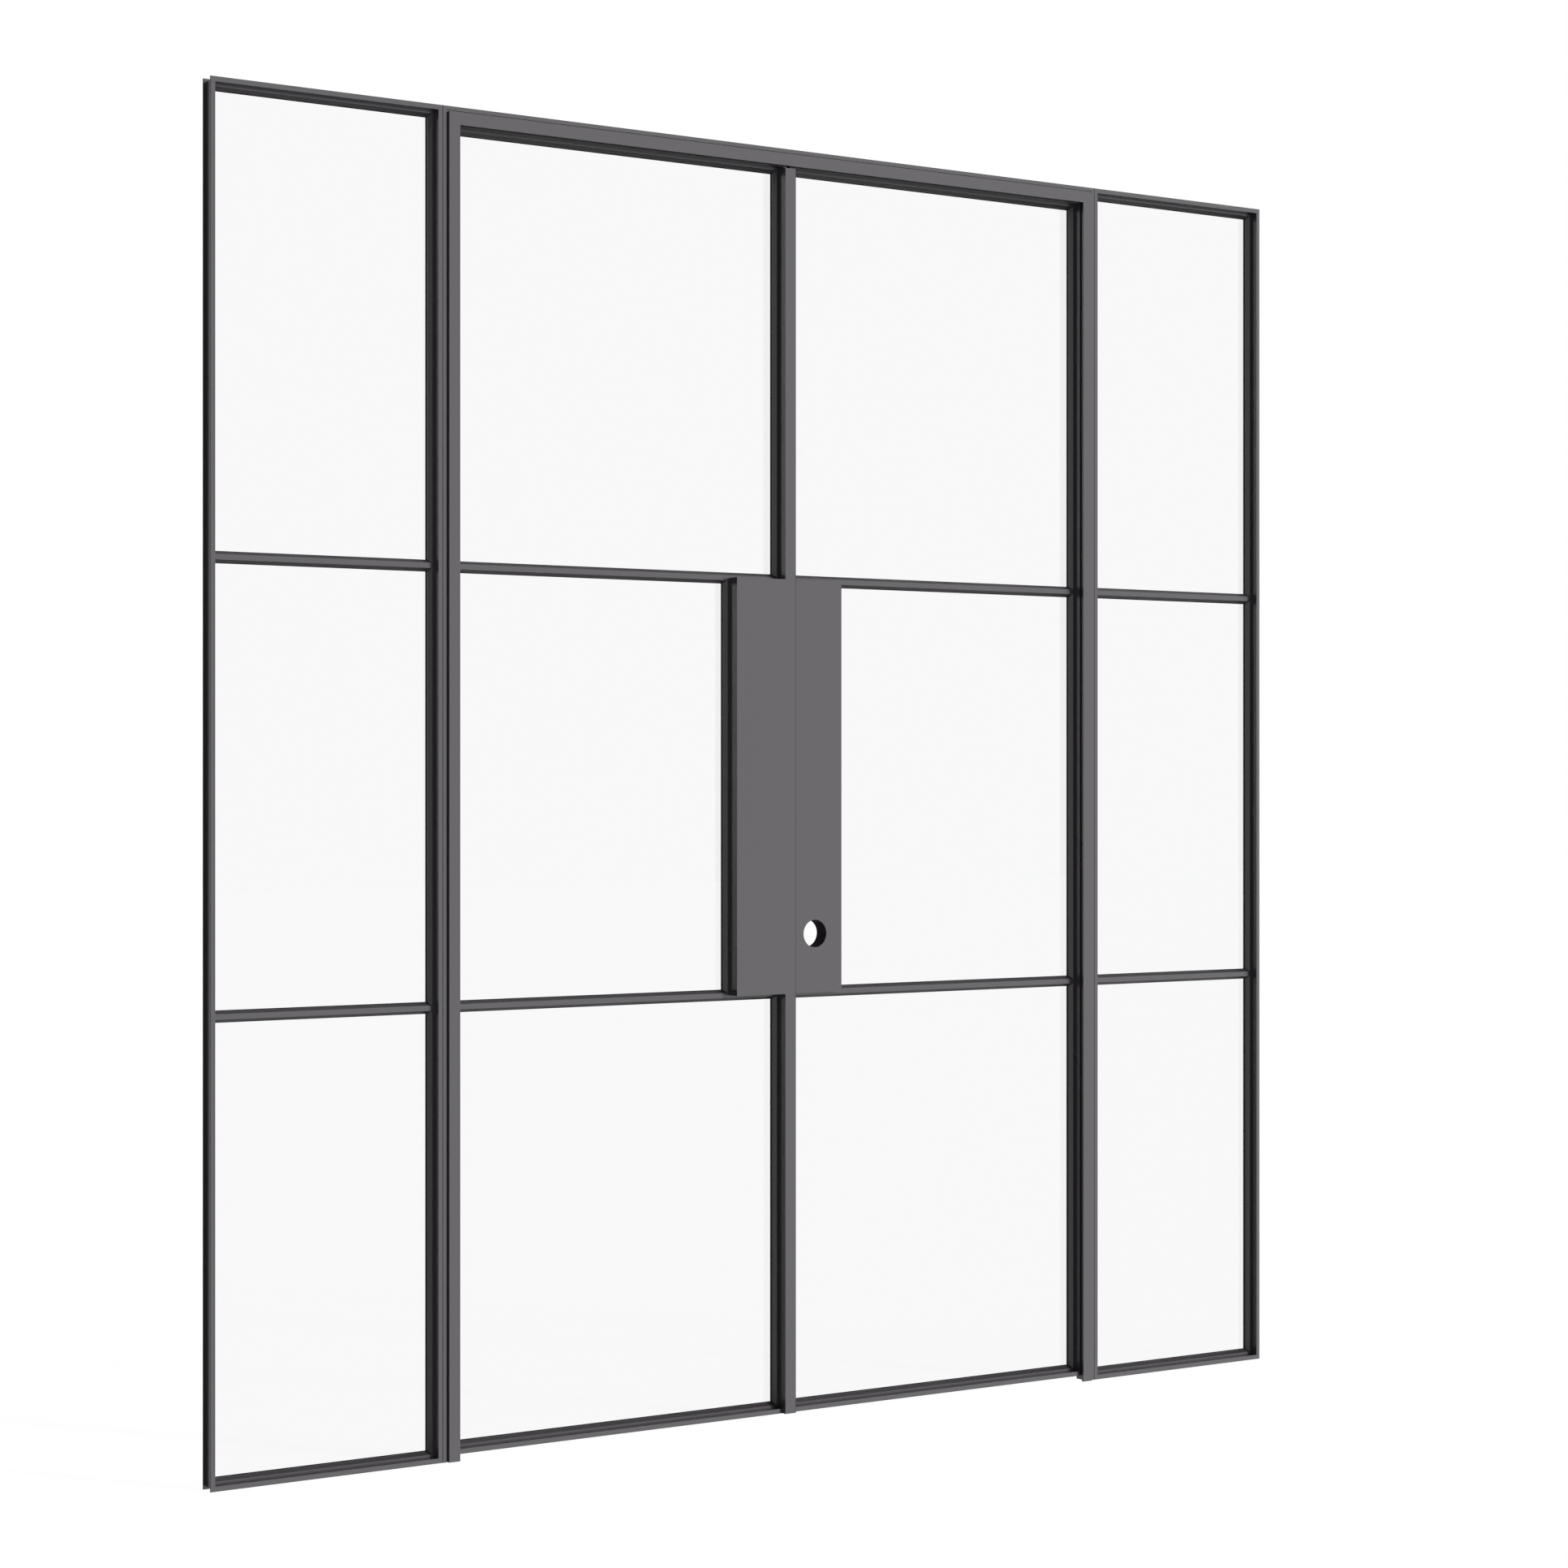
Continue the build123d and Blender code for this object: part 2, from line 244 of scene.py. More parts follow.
class DoorStage(bpy.types.PropertyGroup):
    """Camera, lights and floor."""

    eye: FloatVectorProperty(
        name="Camera place",
        description="Camera, from the set's left front edge at floor level",
        subtype="TRANSLATION",
        default=(-2.4786, -5.4208, 1.232),
    )
    turn: FloatProperty(
        name="Camera turn",
        description="How far the camera looks to the right of straight ahead",
        subtype="ANGLE",
        default=math.radians(34.2),
    )
    focal_pixels: FloatProperty(
        name="Focal length in pixels",
        description="Focal length in pixels of the photo's width",
        default=4165.0,
    )
    key_strength: FloatProperty(
        name="Key light strength",
        description="Strength of the soft light from the right front",
        default=2.0,
        min=0.0,
    )
    key_sideways: FloatProperty(
        name="Key light sideways",
        description="How far the key light moves to the left for each metre into the wall",
        default=0.64,
    )
    key_down: FloatProperty(
        name="Key light down",
        description="How far the key light drops for each metre into the wall",
        default=0.3,
    )
    back_strength: FloatProperty(
        name="Back light strength",
        description="Strength of the level light from behind, for the faces that the photo hides",
        default=1.6,
        min=0.0,
    )
    back_sideways: FloatProperty(
        name="Back light sideways",
        description="How far the back light moves to the left for each metre out of the wall",
        default=0.5,
    )
    back_down: FloatProperty(
        name="Back light down",
        description="How far the back light drops for each metre out of the wall",
        default=0.08,
    )
    fill: FloatProperty(
        name="Fill light",
        description="Level of the even light from all round",
        default=0.1,
        min=0.0,
    )
    softbox: FloatProperty(
        name="Softbox strength",
        description="How much brighter than white the softbox is that the paint mirrors",
        default=1.45,
        min=0.0,
    )
    softbox_turn: FloatProperty(
        name="Softbox turn",
        description="Where the softbox stands, to the right of straight out from the doors",
        subtype="ANGLE",
        default=math.radians(34.0),
    )
    softbox_core: FloatProperty(
        name="Softbox core",
        description="Half the angle over which the softbox has its full strength",
        subtype="ANGLE",
        default=math.radians(40.0),
    )
    softbox_reach: FloatProperty(
        name="Softbox reach",
        description="Half the angle at which the softbox has faded out",
        subtype="ANGLE",
        default=math.radians(60.0),
    )
    overhead_dim: FloatProperty(
        name="Overhead dimming",
        description="How much less of the studio the paint mirrors from steeply above and below",
        subtype="FACTOR",
        default=0.65,
        min=0.0,
        max=1.0,
    )
    floor_share: FloatProperty(
        name="Floor shadow share",
        description="Share of the floor's brightness that shadows can take away",
        subtype="FACTOR",
        default=0.12,
        min=0.0,
        max=1.0,
    )
    floor_glow: FloatProperty(
        name="Floor glow",
        description="Brightness of the part of the floor that takes no shadow",
        default=1.108,
        min=0.0,
    )
    floor_through_glass: FloatProperty(
        name="Floor through glass",
        description="How much brighter the floor is through a pane, for its dim reflections",
        default=0.028,
        min=0.0,
    )


def node_in(tree, kind, **settings):
    """Adds a shader node and sets its inputs by name."""
    node = tree.nodes.new(kind)
    for name, value in settings.items():
        node.inputs[name.replace("_", " ").title()].default_value = value
    return node


def math_node(tree, operation, first, second):
    """A Math node whose two inputs are sockets or numbers."""
    node = tree.nodes.new("ShaderNodeMath")
    node.operation = operation
    for place, value in enumerate((first, second)):
        if isinstance(value, bpy.types.NodeSocket):
            tree.links.new(value, node.inputs[place])
        else:
            node.inputs[place].default_value = value
    return node.outputs[0]


def ramp(tree, value, low, high):
    """Spreads the stretch between two values over 0 to 1."""
    node = tree.nodes.new("ShaderNodeMapRange")
    node.inputs["From Min"].default_value = low
    node.inputs["From Max"].default_value = high
    tree.links.new(value, node.inputs["Value"])
    return node.outputs["Result"]


def new_group(name, inputs, outputs):
    """A shader node group with named sockets, given as name to (kind, default)."""
    tree = bpy.data.node_groups.new(name, "ShaderNodeTree")
    for direction, sockets in (("INPUT", inputs), ("OUTPUT", outputs)):
        for socket_name, (kind, default) in sockets.items():
            socket = tree.interface.new_socket(socket_name, in_out=direction, socket_type=kind)
            if default is not None:
                socket.default_value = default
    return tree, tree.nodes.new("NodeGroupInput").outputs, tree.nodes.new("NodeGroupOutput").inputs


def orange_peel_group():
    """Fine orange peel of a powder coat: a height, and a slow change of tone."""
    tree, given, made = new_group(
        "Orange peel",
        {"Size": ("NodeSocketFloat", 1.6 * MM), "Cloud Size": ("NodeSocketFloat", 0.4)},
        {"Height": ("NodeSocketFloat", None), "Tone": ("NodeSocketFloat", None)},
    )
    place = tree.nodes.new("ShaderNodeTexCoord").outputs["Object"]
    peel = node_in(tree, "ShaderNodeTexNoise", detail=2.0, roughness=0.5)
    clouds = node_in(tree, "ShaderNodeTexNoise", detail=3.0, roughness=0.55)
    tree.links.new(math_node(tree, "DIVIDE", 1.0, given["Size"]), peel.inputs["Scale"])
    tree.links.new(math_node(tree, "DIVIDE", 1.0, given["Cloud Size"]), clouds.inputs["Scale"])
    for noise in (peel, clouds):
        tree.links.new(place, noise.inputs["Vector"])
    tree.links.new(peel.outputs["Fac"], made["Height"])
    tree.links.new(clouds.outputs["Fac"], made["Tone"])
    return tree


def edge_highlight_and_wear_group():
    """Mask of the arrises, broken into stretches: it marks both wearing of the coat and a painted
    highlight along the edges.
    """
    flat_face, sharp_arris = 0.995, 0.8
    unmarked_patch, fully_marked_patch = 0.48, 0.62
    tree, given, made = new_group(
        "Edge wear",
        {"Width": ("NodeSocketFloat", 0.7 * MM), "Patch Size": ("NodeSocketFloat", 0.12)},
        {"Mask": ("NodeSocketFloat", None)},
    )
    rounded = tree.nodes.new("ShaderNodeBevel")
    rounded.samples = 4
    tree.links.new(given["Width"], rounded.inputs["Radius"])
    geometry = tree.nodes.new("ShaderNodeNewGeometry")
    turned = tree.nodes.new("ShaderNodeVectorMath")
    turned.operation = "DOT_PRODUCT"
    tree.links.new(rounded.outputs["Normal"], turned.inputs[0])
    tree.links.new(geometry.outputs["Normal"], turned.inputs[1])
    edge = ramp(tree, turned.outputs["Value"], flat_face, sharp_arris)
    place = tree.nodes.new("ShaderNodeTexCoord").outputs["Object"]
    patches = node_in(tree, "ShaderNodeTexNoise", detail=4.0, roughness=0.6)
    tree.links.new(place, patches.inputs["Vector"])
    tree.links.new(math_node(tree, "DIVIDE", 1.0, given["Patch Size"]), patches.inputs["Scale"])
    broken = ramp(tree, patches.outputs["Fac"], unmarked_patch, fully_marked_patch)
    tree.links.new(math_node(tree, "MULTIPLY", edge, broken), made["Mask"])
    return tree


def new_material(name):
    """An empty material with its output, its Principled shader and its node tree."""
    material = bpy.data.materials.new(name)
    material.use_nodes = True
    tree = material.node_tree
    tree.nodes.clear()
    shader = tree.nodes.new("ShaderNodeBsdfPrincipled")
    output = tree.nodes.new("ShaderNodeOutputMaterial")
    tree.links.new(shader.outputs["BSDF"], output.inputs["Surface"])
    return material, tree, shader


def use_group(tree, group, **values):
    """Places a node group in a material with its own values."""
    node = tree.nodes.new("ShaderNodeGroup")
    node.node_tree = bpy.data.node_groups[group]
    for name, value in values.items():
        node.inputs[name.replace("_", " ").title()].default_value = value
    return node.outputs


def mixed_colour(tree, share, first, second):
    """Mixes two colours by a share; each is a socket or a plain colour."""
    mix = tree.nodes.new("ShaderNodeMix")
    mix.data_type = "RGBA"
    tree.links.new(share, mix.inputs["Factor"])
    for name, value in (("A", first), ("B", second)):
        socket = next(s for s in mix.inputs if s.name == name and s.type == "RGBA")
        if isinstance(value, bpy.types.NodeSocket):
            tree.links.new(value, socket)
        else:
            socket.default_value = (*value, 1.0)
    return next(s for s in mix.outputs if s.type == "RGBA")


def blend_shaders(tree, share, first, second):
    """Puts a blend of two shaders on the material's output."""
    either = tree.nodes.new("ShaderNodeMixShader")
    tree.links.new(share, either.inputs["Fac"])
    tree.links.new(first, either.inputs[1])
    tree.links.new(second, either.inputs[2])
    output = next(n for n in tree.nodes if n.type == "OUTPUT_MATERIAL")
    tree.links.new(either.outputs["Shader"], output.inputs["Surface"])


def paint_material(name, paint, shade, highlight_and_wear):
    """Satin powder coat: orange peel, a slow drift of tone, and arrises lightened both by wearing
    and as a painted highlight.
    """
    tone_drift = 0.015
    roughness_drift = 0.08
    highlight_and_rubbing_brightness = 1.9
    material, tree, shader = new_material(name)
    peel = use_group(tree, "Orange peel", size=paint.grain, cloud_size=0.5)
    edges = use_group(tree, "Edge wear", width=paint.highlit_and_worn_edge, patch_size=0.15)
    colour = Vector(paint.colour) * shade
    darker, lighter = colour * (1.0 - tone_drift), colour * (1.0 + tone_drift)
    drift = mixed_colour(tree, peel["Tone"], darker, lighter)
    # Lightened arrises: partly wearing of the coat, partly a painted highlight catching the edges.
    highlit_and_worn = math_node(tree, "MULTIPLY", edges["Mask"], highlight_and_wear)
    rubbed_and_highlit = mixed_colour(tree, highlit_and_worn, drift, colour * highlight_and_rubbing_brightness)
    tree.links.new(rubbed_and_highlit, shader.inputs["Base Color"])
    uneven = math_node(tree, "MULTIPLY", peel["Tone"], roughness_drift)
    rough = math_node(tree, "ADD", uneven, paint.roughness - roughness_drift / 2)
    tree.links.new(rough, shader.inputs["Roughness"])
    bump = tree.nodes.new("ShaderNodeBump")
    bump.inputs["Strength"].default_value = 1.0
    bump.inputs["Distance"].default_value = paint.grain_height
    tree.links.new(peel["Height"], bump.inputs["Height"])
    tree.links.new(bump.outputs["Normal"], shader.inputs["Normal"])
    return material


def glass_material(name, glass):
    """Clear glass that lets the lamps' light through to what stands behind it."""
    material, tree, shader = new_material(name)
    shader.inputs["Base Color"].default_value = (*glass.tint, 1.0)
    shader.inputs["Roughness"].default_value = 0.0
    shader.inputs["IOR"].default_value = GLASS_IOR
    shader.inputs["Transmission Weight"].default_value = 1.0
    clear = tree.nodes.new("ShaderNodeBsdfTransparent")
    clear.inputs["Color"].default_value = (*glass.tint, 1.0)
    path = tree.nodes.new("ShaderNodeLightPath").outputs
    passes = math_node(tree, "MAXIMUM", path["Is Shadow Ray"], path["Is Diffuse Ray"])
    blend_shaders(tree, passes, shader.outputs["BSDF"], clear.outputs["BSDF"])
    return material


def rubber_material(name, glass):
    """Dull black rubber of the glazing seals."""
    smoothest, roughness_drift = 0.55, 0.15
    material, tree, shader = new_material(name)
    peel = use_group(tree, "Orange peel", size=0.8 * MM, cloud_size=0.2)
    colour = Vector(glass.seal_colour)
    tone = mixed_colour(tree, peel["Tone"], colour * 0.8, colour * 1.3)
    tree.links.new(tone, shader.inputs["Base Color"])
    uneven = math_node(tree, "MULTIPLY", peel["Height"], roughness_drift)
    rough = math_node(tree, "ADD", uneven, smoothest)
    tree.links.new(rough, shader.inputs["Roughness"])
    shader.inputs["Specular IOR Level"].default_value = 0.15
    return material


def bore_shade_material(name):
    """Near-black material: painted shade inside the handle's hollow bore."""
    # Near-black tones: painted shade of the hollow bore.
    dark, light = (0.006, 0.006, 0.006), (0.012, 0.0115, 0.011)
    material, tree, shader = new_material(name)
    peel = use_group(tree, "Orange peel", size=2.5 * MM, cloud_size=0.05)
    tree.links.new(mixed_colour(tree, peel["Tone"], dark, light), shader.inputs["Base Color"])
    shader.inputs["Roughness"].default_value = 0.8
    shader.inputs["Specular IOR Level"].default_value = 0.1
    return material


def darken_bore(material):
    """Gives the wall of the handle's bore the near-black material that paints the shade of the
    hollow.
    """
    just_outside = 1.02
    facing_sideways = 0.5
    mount = next(m for m in frame["record"]["mounts"] if m["name"] == "lock_bore")
    centre = Vector(mount["pos_m"])
    reach = mount["dims"]["r_mm"] * MM * just_outside
    node = frame["nodes"]["right_leaf_lock_box"]
    node.data.materials.append(material)
    for face in node.data.polygons:
        place = node.matrix_world @ face.center - centre
        place.y = 0.0
        if place.length < reach and abs(face.normal.y) < facing_sideways:
            face.material_index = 1


def dress(node_name, material):
    """Gives a CAD node its material."""
    node = frame["nodes"][node_name]
    node.data.materials.clear()
    node.data.materials.append(material)


def new_object(name, mesh, material):
    """An object in the scene with one material."""
    made = bpy.data.objects.new(name, mesh)
    made.data.materials.append(material)
    bpy.context.scene.collection.objects.link(made)
    return made


class DOORS_OT_groups(bpy.types.Operator):
    """Build the shared effects of the finishes."""

    bl_idname = "doors.groups"
    bl_label = "Shared effects"

    def execute(self, context):
        orange_peel_group()
        edge_highlight_and_wear_group()
        return {"FINISHED"}


class DOORS_OT_paint(bpy.types.Operator):
    """Paint the frames, bars, stops, lock boxes and hinges."""

    bl_idname = "doors.paint"
    bl_label = "Painted metal"

    def execute(self, context):
        paint = context.scene.door_paint
        frame_paint = paint_material("frame_paint", paint, shade=1.0, highlight_and_wear=0.35)
        hinge_paint = paint_material("hinge_paint", paint, shade=0.9, highlight_and_wear=0.8)
        for name in frame["nodes"]:
            if name.endswith("glass"):
                continue
            dress(name, hinge_paint if name.endswith("hinge_halves") else frame_paint)
        darken_bore(bore_shade_material("bore_painted_shade"))
        return {"FINISHED"}


class DOORS_OT_glass(bpy.types.Operator):
    """Glaze the panes."""

    bl_idname = "doors.glass"
    bl_label = "Glass"

    def execute(self, context):
        clear_glass = glass_material("clear_glass", context.scene.door_glass)
        for panel in PANELS:
            dress(f"{panel}_glass", clear_glass)
        return {"FINISHED"}


def ring_wall(mesh, rings):
    """Joins neighbouring rings of vertices with faces, and closes the first and the last."""
    around = len(rings[0])
    for first, second in zip(rings, rings[1:]):
        for step in range(around):
            after = (step + 1) % around
            mesh.faces.new((first[step], first[after], second[after], second[step]))
    mesh.faces.new(rings[0][::-1])
    mesh.faces.new(rings[-1])


def turned_piece(mesh, centre, outward, profile):
    """A turned form on an axis, from (radius, height) pairs read from its foot to its top."""
    turn = Vector(outward).to_track_quat("Z", "Y")
    rings = []
    for radius, height in profile:
        ring = []
        for step in range(TURNED_SIDES):
            angle = 2 * math.pi * step / TURNED_SIDES
            point = Vector((radius * math.cos(angle), radius * math.sin(angle), height))
            ring.append(mesh.verts.new(Vector(centre) + turn @ point))
        rings.append(ring)
    ring_wall(mesh, rings)


def finished_mesh(name, working):
    """Turns a bmesh into a mesh with its faces turned outwards."""
    bmesh.ops.recalc_face_normals(working, faces=working.faces)
    mesh = bpy.data.meshes.new(name)
    working.to_mesh(mesh)
    working.free()
    return mesh


def loose_parts(node_name):
    """Boxes of the separate solids in a CAD node, from low to high."""
    same_place = 0.001 * MM
    node = frame["nodes"][node_name]
    working = bmesh.new()
    working.from_mesh(node.data)
    bmesh.ops.remove_doubles(working, verts=working.verts, dist=same_place)
    boxes = []
    unseen = set(working.verts)
    while unseen:
        group = {unseen.pop()}
        border = list(group)
        while border:
            vertex = border.pop()
            for edge in vertex.link_edges:
                other = edge.other_vert(vertex)
                if other in unseen:
                    unseen.discard(other)
                    group.add(other)
                    border.append(other)
        places = [node.matrix_world @ vertex.co for vertex in group]
        low = Vector(min(place[axis] for place in places) for axis in range(3))
        high = Vector(max(place[axis] for place in places) for axis in range(3))
        boxes.append((low, high))
    working.free()
    return sorted(boxes, key=lambda box: (box[0].z, box[0].x))


def ringed_frame(mesh, low, high, profile):
    """A closed moulding round a rectangle, from (inset, y) pairs read round its section."""
    loops = []
    for inset, depth in profile:
        corners = (
            (low.x + inset, depth, low.z + inset),
            (high.x - inset, depth, low.z + inset),
            (high.x - inset, depth, high.z - inset),
            (low.x + inset, depth, high.z - inset),
        )
        loops.append([mesh.verts.new(corner) for corner in corners])
    for first, second in zip(loops, loops[1:] + loops[:1]):
        for step in range(4):
            after = (step + 1) % 4
            mesh.faces.new((first[step], first[after], second[after], second[step]))


def add_seals(panel, body, glass, material):
    """Rubber lips round each pane, on its front and its back."""
    working = bmesh.new()
    for low, high in loose_parts(f"{panel}_glass"):
        hidden = Vector((glass.hidden_edge, 0.0, glass.hidden_edge))
        sight_low, sight_high = low + hidden, high - hidden
        wide, thick = glass.seal_width, glass.seal_height
        for surface, out in ((low.y, -1.0), (high.y, 1.0)):
            proud = surface + out * thick
            profile = [
                (0.0, surface),
                (0.0, proud),
                (wide * 0.4, proud),
                (wide, surface + out * thick * 0.3),
                (wide, surface),
            ]
            ringed_frame(working, sight_low, sight_high, profile)
    seals = new_object(f"{panel}_seals", finished_mesh("seals", working), material)
    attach(seals, body)


def add_screws(side, half, body, hinges, material):
    """Countersunk heads on the free face of each hinge plate."""
    inward = 1 if side == "left" else -1
    near = 0 if side == "left" else 1
    rim_height, recess_floor = 0.3 * MM, -0.3 * MM
    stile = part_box(f"{side}_leaf_hinge_stile")
    jamb_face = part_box(f"{side}_jamb")[1 - near].x
    if half == "jamb":
        face_x, outward = jamb_face + inward * hinges.plate, (inward, 0, 0)
    else:
        face_x, outward = stile[near].x - inward * hinges.plate, (-inward, 0, 0)
    radius = hinges.screw_radius
    profile = [
        (radius, -0.6 * MM),
        (radius, 0.1 * MM),
        (radius * 0.93, rim_height),
        (radius * 0.42, rim_height),
        (radius * 0.32, recess_floor),
    ]
    working = bmesh.new()
    for low, high in loose_parts(f"{side}_{half}_hinge_halves"):
        plate_middle = Vector((face_x, (low.y + stile[1].y) / 2, (low.z + high.z) / 2))
        for place in range(hinges.screws_a_plate):
            up = (place / (hinges.screws_a_plate - 1) - 0.5) * hinges.screw_span
            aside = hinges.screw_stagger * (0.5 if place % 2 else -0.5)
            turned_piece(working, plate_middle + Vector((0, aside, up)), outward, profile)
    screws = new_object(f"{side}_{half}_hinge_screws", finished_mesh("screws", working), material)
    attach(screws, body)


def add_pin_caps(side, hinges, material):
    """A shallow dome on each end of each hinge's barrel."""
    tall = hinges.cap_height
    working = bmesh.new()
    for low, high in loose_parts(f"{side}_jamb_hinge_halves"):
        barrel_back = high.y
        radius = hinges.barrel_radius
        middle_x = (low.x + high.x) / 2
        profile = [
            (radius, -0.2 * MM),
            (radius, tall * 0.2),
            (radius * 0.86, tall * 0.62),
            (radius * 0.5, tall * 0.92),
            (radius * 0.12, tall),
        ]
        for height, outward in ((high.z, (0, 0, 1)), (low.z, (0, 0, -1))):
            turned_piece(working, (middle_x, barrel_back - radius, height), outward, profile)
    caps = new_object(f"{side}_hinge_caps", finished_mesh("caps", working), material)
    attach(caps, "door_frame")


def add_edge_seal(glass, material):
    """A thin black lip with a rounded nose on the meeting bar's closing edge."""
    low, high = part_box("meeting_bar")
    out, deep = glass.edge_lip, glass.edge_lip_depth
    section = (
        (0.0, 0.0),
        (out * 0.75, 0.0),
        (out, deep * 0.12),
        (out, deep * 0.7),
        (out * 0.6, deep * 0.92),
        (0.0, deep),
    )
    working = bmesh.new()
    rings = [
        [working.verts.new((high.x + aside, low.y + back, height)) for aside, back in section]
        for height in (low.z, high.z)
    ]
    ring_wall(working, rings)
    lip = new_object("meeting_bar_lip", finished_mesh("lip", working), material)
    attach(lip, "left_leaf")


class DOORS_OT_seals(bpy.types.Operator):
    """Fit the rubber seals round the panes and on the meeting bar."""

    bl_idname = "doors.seals"
    bl_label = "Rubber seals"

    def execute(self, context):
        glass = context.scene.door_glass
        rubber = rubber_material("seal_rubber", glass)
        for panel, body in PANELS.items():
            add_seals(panel, body, glass, rubber)
        add_edge_seal(glass, rubber)
        return {"FINISHED"}


class DOORS_OT_hinges(bpy.types.Operator):
    """Add the screws and the pin caps of the hinges."""

    bl_idname = "doors.hinges"
    bl_label = "Hinge screws and caps"

    def execute(self, context):
        hinges = context.scene.door_hinges
        paint = bpy.data.materials["hinge_paint"]
        for side in ("left", "right"):
            add_screws(side, "jamb", "door_frame", hinges, paint)
            add_screws(side, "leaf", f"{side}_leaf", hinges, paint)
            add_pin_caps(side, hinges, paint)
        return {"FINISHED"}


class DOORS_OT_stage(bpy.types.Operator):
    """Set up the floor, the lights, the world and the camera."""

    bl_idname = "doors.stage"
    bl_label = "Floor, lights and camera"

    def execute(self, context):
        stage = context.scene.door_stage
        lay_floor(stage)
        light_world(stage)
        hang_lights(stage)
        place_camera(stage)
        context.scene.view_settings.view_transform = "Standard"
        return {"FINISHED"}


def lay_floor(stage):
    """A wide white floor that still takes a faint shadow, and that the paint doesn't mirror."""
    reach = 30.0
    white = (0.8, 0.8, 0.8, 1.0)
    mesh = bpy.data.meshes.new("floor")
    corners = [(-reach, -reach, 0), (reach, -reach, 0), (reach, reach, 0), (-reach, reach, 0)]
    mesh.from_pydata(corners, [], [(0, 1, 2, 3)])
    material, tree, shader = new_material("floor_white")
    shader.inputs["Base Color"].default_value = white
    shader.inputs["Roughness"].default_value = 1.0
    shader.inputs["Specular IOR Level"].default_value = 0.0
    glow = tree.nodes.new("ShaderNodeEmission")
    path = tree.nodes.new("ShaderNodeLightPath").outputs
    once_mirrored = math_node(tree, "MINIMUM", path["Glossy Depth"], 1.0)
    darker = math_node(tree, "MULTIPLY", once_mirrored, stage.overhead_dim)
    through_glass = path["Is Transmission Ray"]
    made_up = math_node(tree, "MULTIPLY", through_glass, stage.floor_through_glass)
    level = math_node(tree, "ADD", made_up, stage.floor_glow)
    tree.links.new(math_node(tree, "SUBTRACT", level, darker), glow.inputs["Strength"])
    seen = math_node(tree, "MAXIMUM", path["Is Camera Ray"], through_glass)
    white_share = math_node(tree, "MULTIPLY", seen, 1.0 - stage.floor_share)
    blend_shaders(tree, white_share, shader.outputs["BSDF"], glow.outputs["Emission"])
    floor = new_object("floor", mesh, material)
    floor.visible_glossy = False


def light_world(stage):
    """White where it is seen, a low even fill, and a softbox that only the satin paint mirrors."""
    level_enough, steep_enough = 0.35, 0.7
    world = bpy.data.worlds.new("white_studio")
    world.use_nodes = True
    bpy.context.scene.world = world
    tree = world.node_tree
    background = tree.nodes["Background"]
    background.inputs["Color"].default_value = (1.0, 1.0, 1.0, 1.0)
    path = tree.nodes.new("ShaderNodeLightPath").outputs
    glossy = path["Is Glossy Ray"]
    seen = math_node(tree, "MAXIMUM", path["Is Camera Ray"], path["Is Transmission Ray"])
    seen = math_node(tree, "MAXIMUM", seen, glossy)
    white = math_node(tree, "MULTIPLY", seen, 1.0 - stage.fill)
    even = math_node(tree, "ADD", white, stage.fill)
    satin = math_node(tree, "SUBTRACT", glossy, path["Is Singular Ray"])
    satin = math_node(tree, "MAXIMUM", satin, 0.0)
    towards = tree.nodes.new("ShaderNodeVectorMath")
    towards.operation = "DOT_PRODUCT"
    right, out = math.sin(stage.softbox_turn), -math.cos(stage.softbox_turn)
    towards.inputs[1].default_value = (right, out, 0.0)
    direction = tree.nodes.new("ShaderNodeTexCoord").outputs["Generated"]
    tree.links.new(direction, towards.inputs[0])
    low, high = math.cos(stage.softbox_reach), math.cos(stage.softbox_core)
    box = ramp(tree, towards.outputs["Value"], low, high)
    split = tree.nodes.new("ShaderNodeSeparateXYZ")
    tree.links.new(direction, split.inputs[0])
    slope = math_node(tree, "ABSOLUTE", split.outputs["Z"], 0.0)
    steep = ramp(tree, slope, level_enough, steep_enough)
    once_mirrored = math_node(tree, "MINIMUM", path["Glossy Depth"], 1.0)
    dimmed = math_node(tree, "MULTIPLY", steep, once_mirrored)
    darker = math_node(tree, "MULTIPLY", dimmed, stage.overhead_dim)
    box_mirrored = math_node(tree, "MULTIPLY", box, satin)
    mirrored = math_node(tree, "MULTIPLY", box_mirrored, stage.softbox)
    lit = math_node(tree, "ADD", even, mirrored)
    tree.links.new(math_node(tree, "SUBTRACT", lit, darker), background.inputs["Strength"])


def hang_sun(name, strength, travel):
    """A soft distant light that travels one way, with no disc in paint or glass."""
    softness = math.radians(5.0)
    lamp = bpy.data.lights.new(name, "SUN")
    lamp.energy = strength
    lamp.angle = softness
    sun = bpy.data.objects.new(name, lamp)
    sun.rotation_euler = Vector(travel).to_track_quat("-Z", "Y").to_euler()
    sun.visible_glossy = False
    sun.visible_transmission = False
    bpy.context.scene.collection.objects.link(sun)


def hang_lights(stage):
    """A key light from the right front, a little above, and a nearly level one from behind."""
    hang_sun("key_light", stage.key_strength, (-stage.key_sideways, 1.0, -stage.key_down))
    hang_sun("back_light", stage.back_strength, (-stage.back_sideways, -1.0, -stage.back_down))


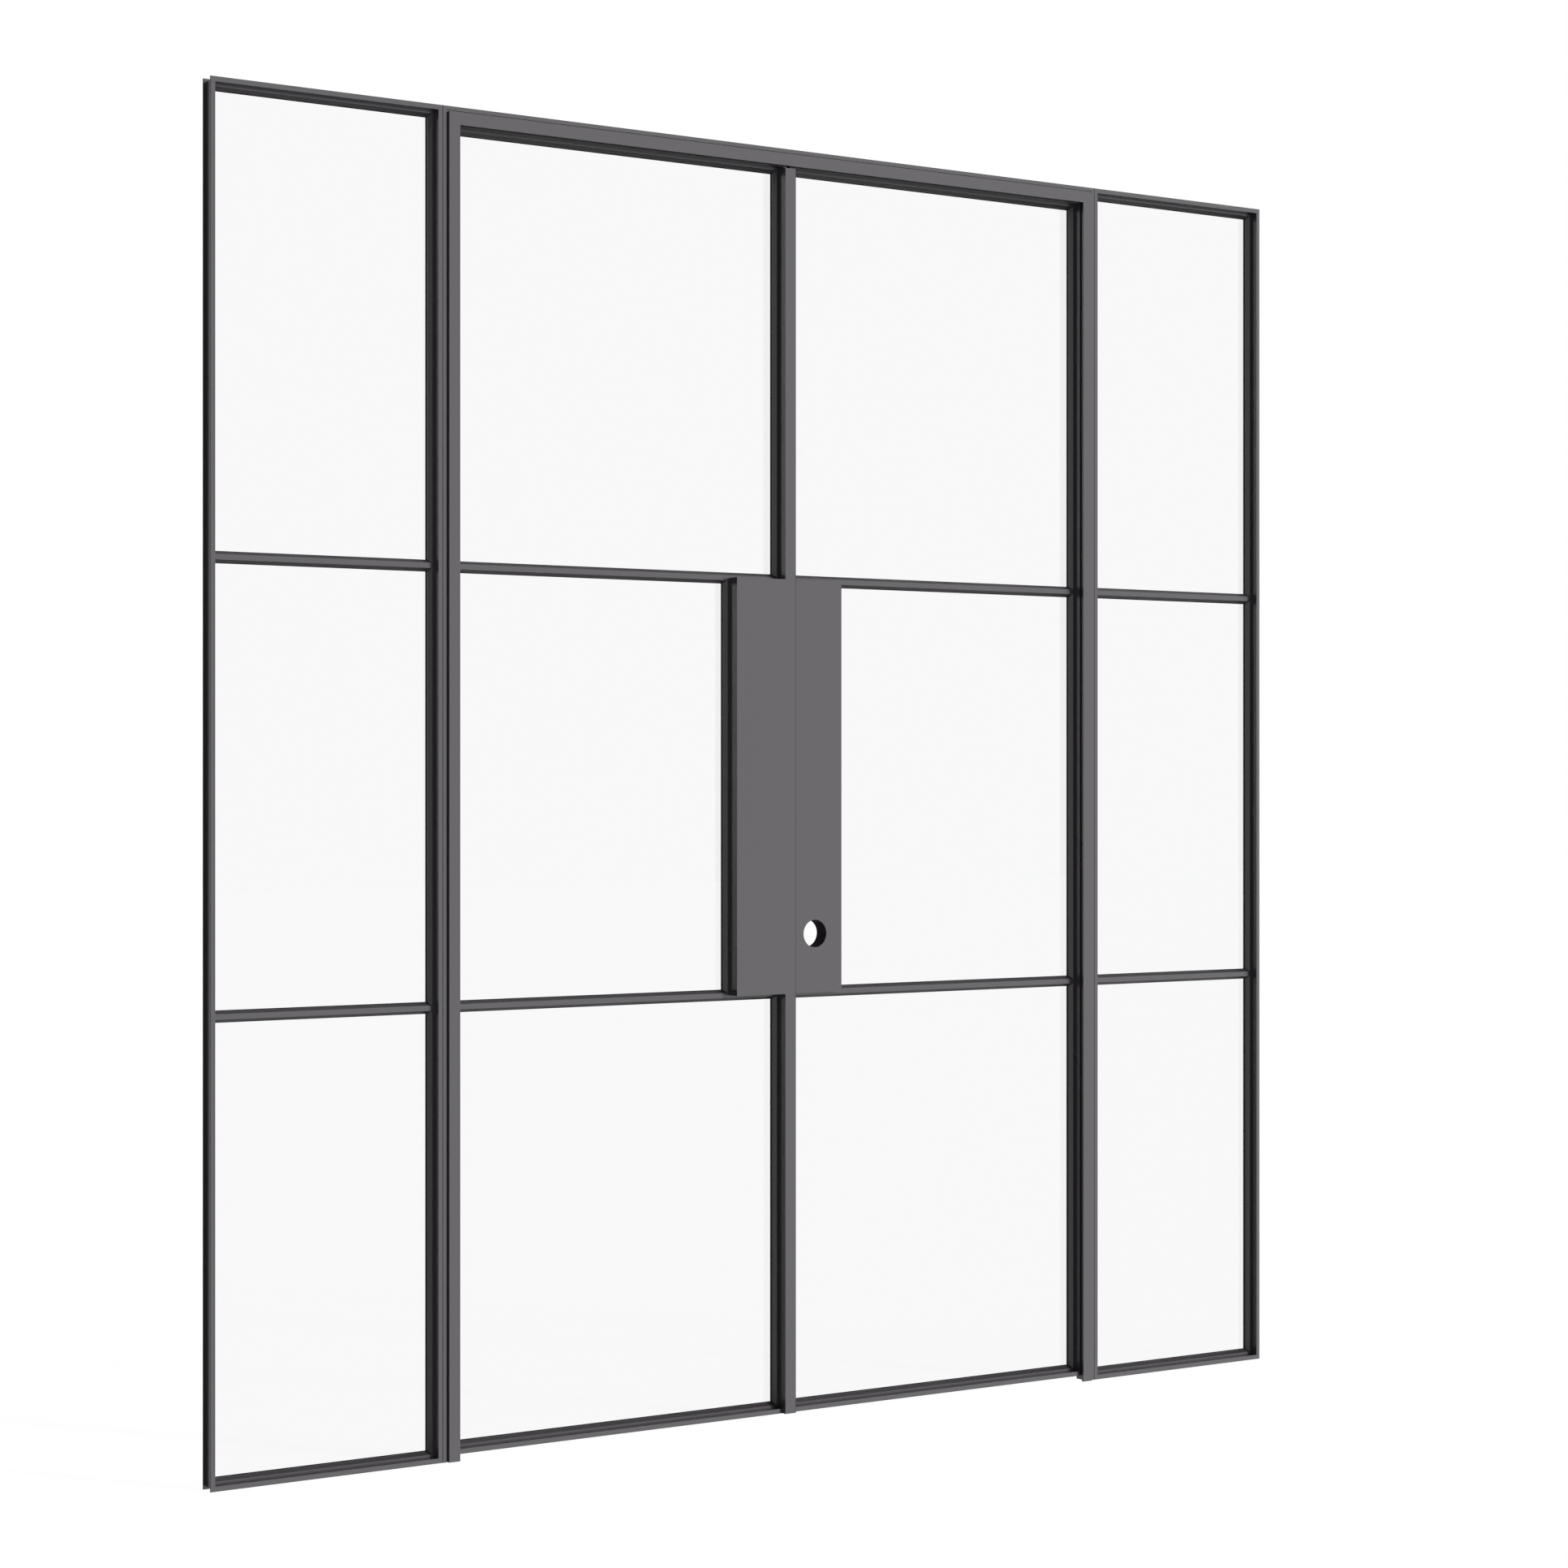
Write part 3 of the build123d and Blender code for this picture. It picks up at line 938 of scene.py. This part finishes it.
def place_camera(stage):
    """The camera of the photo: level, turned to the right."""
    level = math.radians(90.0)
    farthest_view = 200.0
    lens = bpy.data.cameras.new("photo_camera")
    lens.sensor_fit = "HORIZONTAL"
    lens.sensor_width = SENSOR_WIDTH
    lens.lens = SENSOR_WIDTH * stage.focal_pixels / PHOTO_SIDE
    lens.clip_end = farthest_view
    camera = bpy.data.objects.new("photo_camera", lens)
    eye = Vector(stage.eye)
    camera.location = (LEFT_SIDE + eye.x, FRONT + eye.y, eye.z)
    camera.rotation_euler = (level, 0.0, -stage.turn)
    bpy.context.scene.collection.objects.link(camera)
    bpy.context.scene.camera = camera


class DOORS_PT_panel(bpy.types.Panel):
    """Shows a button for each step, and the sizes, colours and lights that they use."""

    bl_label = "Glazed double doors"
    bl_idname = "DOORS_PT_panel"
    bl_space_type = "VIEW_3D"
    bl_region_type = "UI"
    bl_category = "Doors"

    def draw(self, context):
        for operator in OPERATORS:
            self.layout.operator(operator.bl_idname)
        for group in SETTINGS:
            settings = getattr(context.scene, group)
            for name in settings.__annotations__:
                self.layout.prop(settings, name)


SETTINGS = {
    "door_paint": DoorPaint,
    "door_glass": DoorGlass,
    "door_hinges": DoorHinges,
    "door_stage": DoorStage,
}
OPERATORS = (
    DOORS_OT_groups,
    DOORS_OT_paint,
    DOORS_OT_glass,
    DOORS_OT_seals,
    DOORS_OT_hinges,
    DOORS_OT_stage,
)


def register():
    for name, group in SETTINGS.items():
        bpy.utils.register_class(group)
        setattr(bpy.types.Scene, name, PointerProperty(type=group))
    for operator in OPERATORS:
        bpy.utils.register_class(operator)
    bpy.utils.register_class(DOORS_PT_panel)


def unregister():
    bpy.utils.unregister_class(DOORS_PT_panel)
    for operator in reversed(OPERATORS):
        bpy.utils.unregister_class(operator)
    for name, group in reversed(SETTINGS.items()):
        delattr(bpy.types.Scene, name)
        bpy.utils.unregister_class(group)


def main():
    register()
    bpy.ops.doors.groups()
    bpy.ops.doors.paint()
    bpy.ops.doors.glass()
    bpy.ops.doors.seals()
    bpy.ops.doors.hinges()
    bpy.ops.doors.stage()


if __name__ == "__main__":
    main()
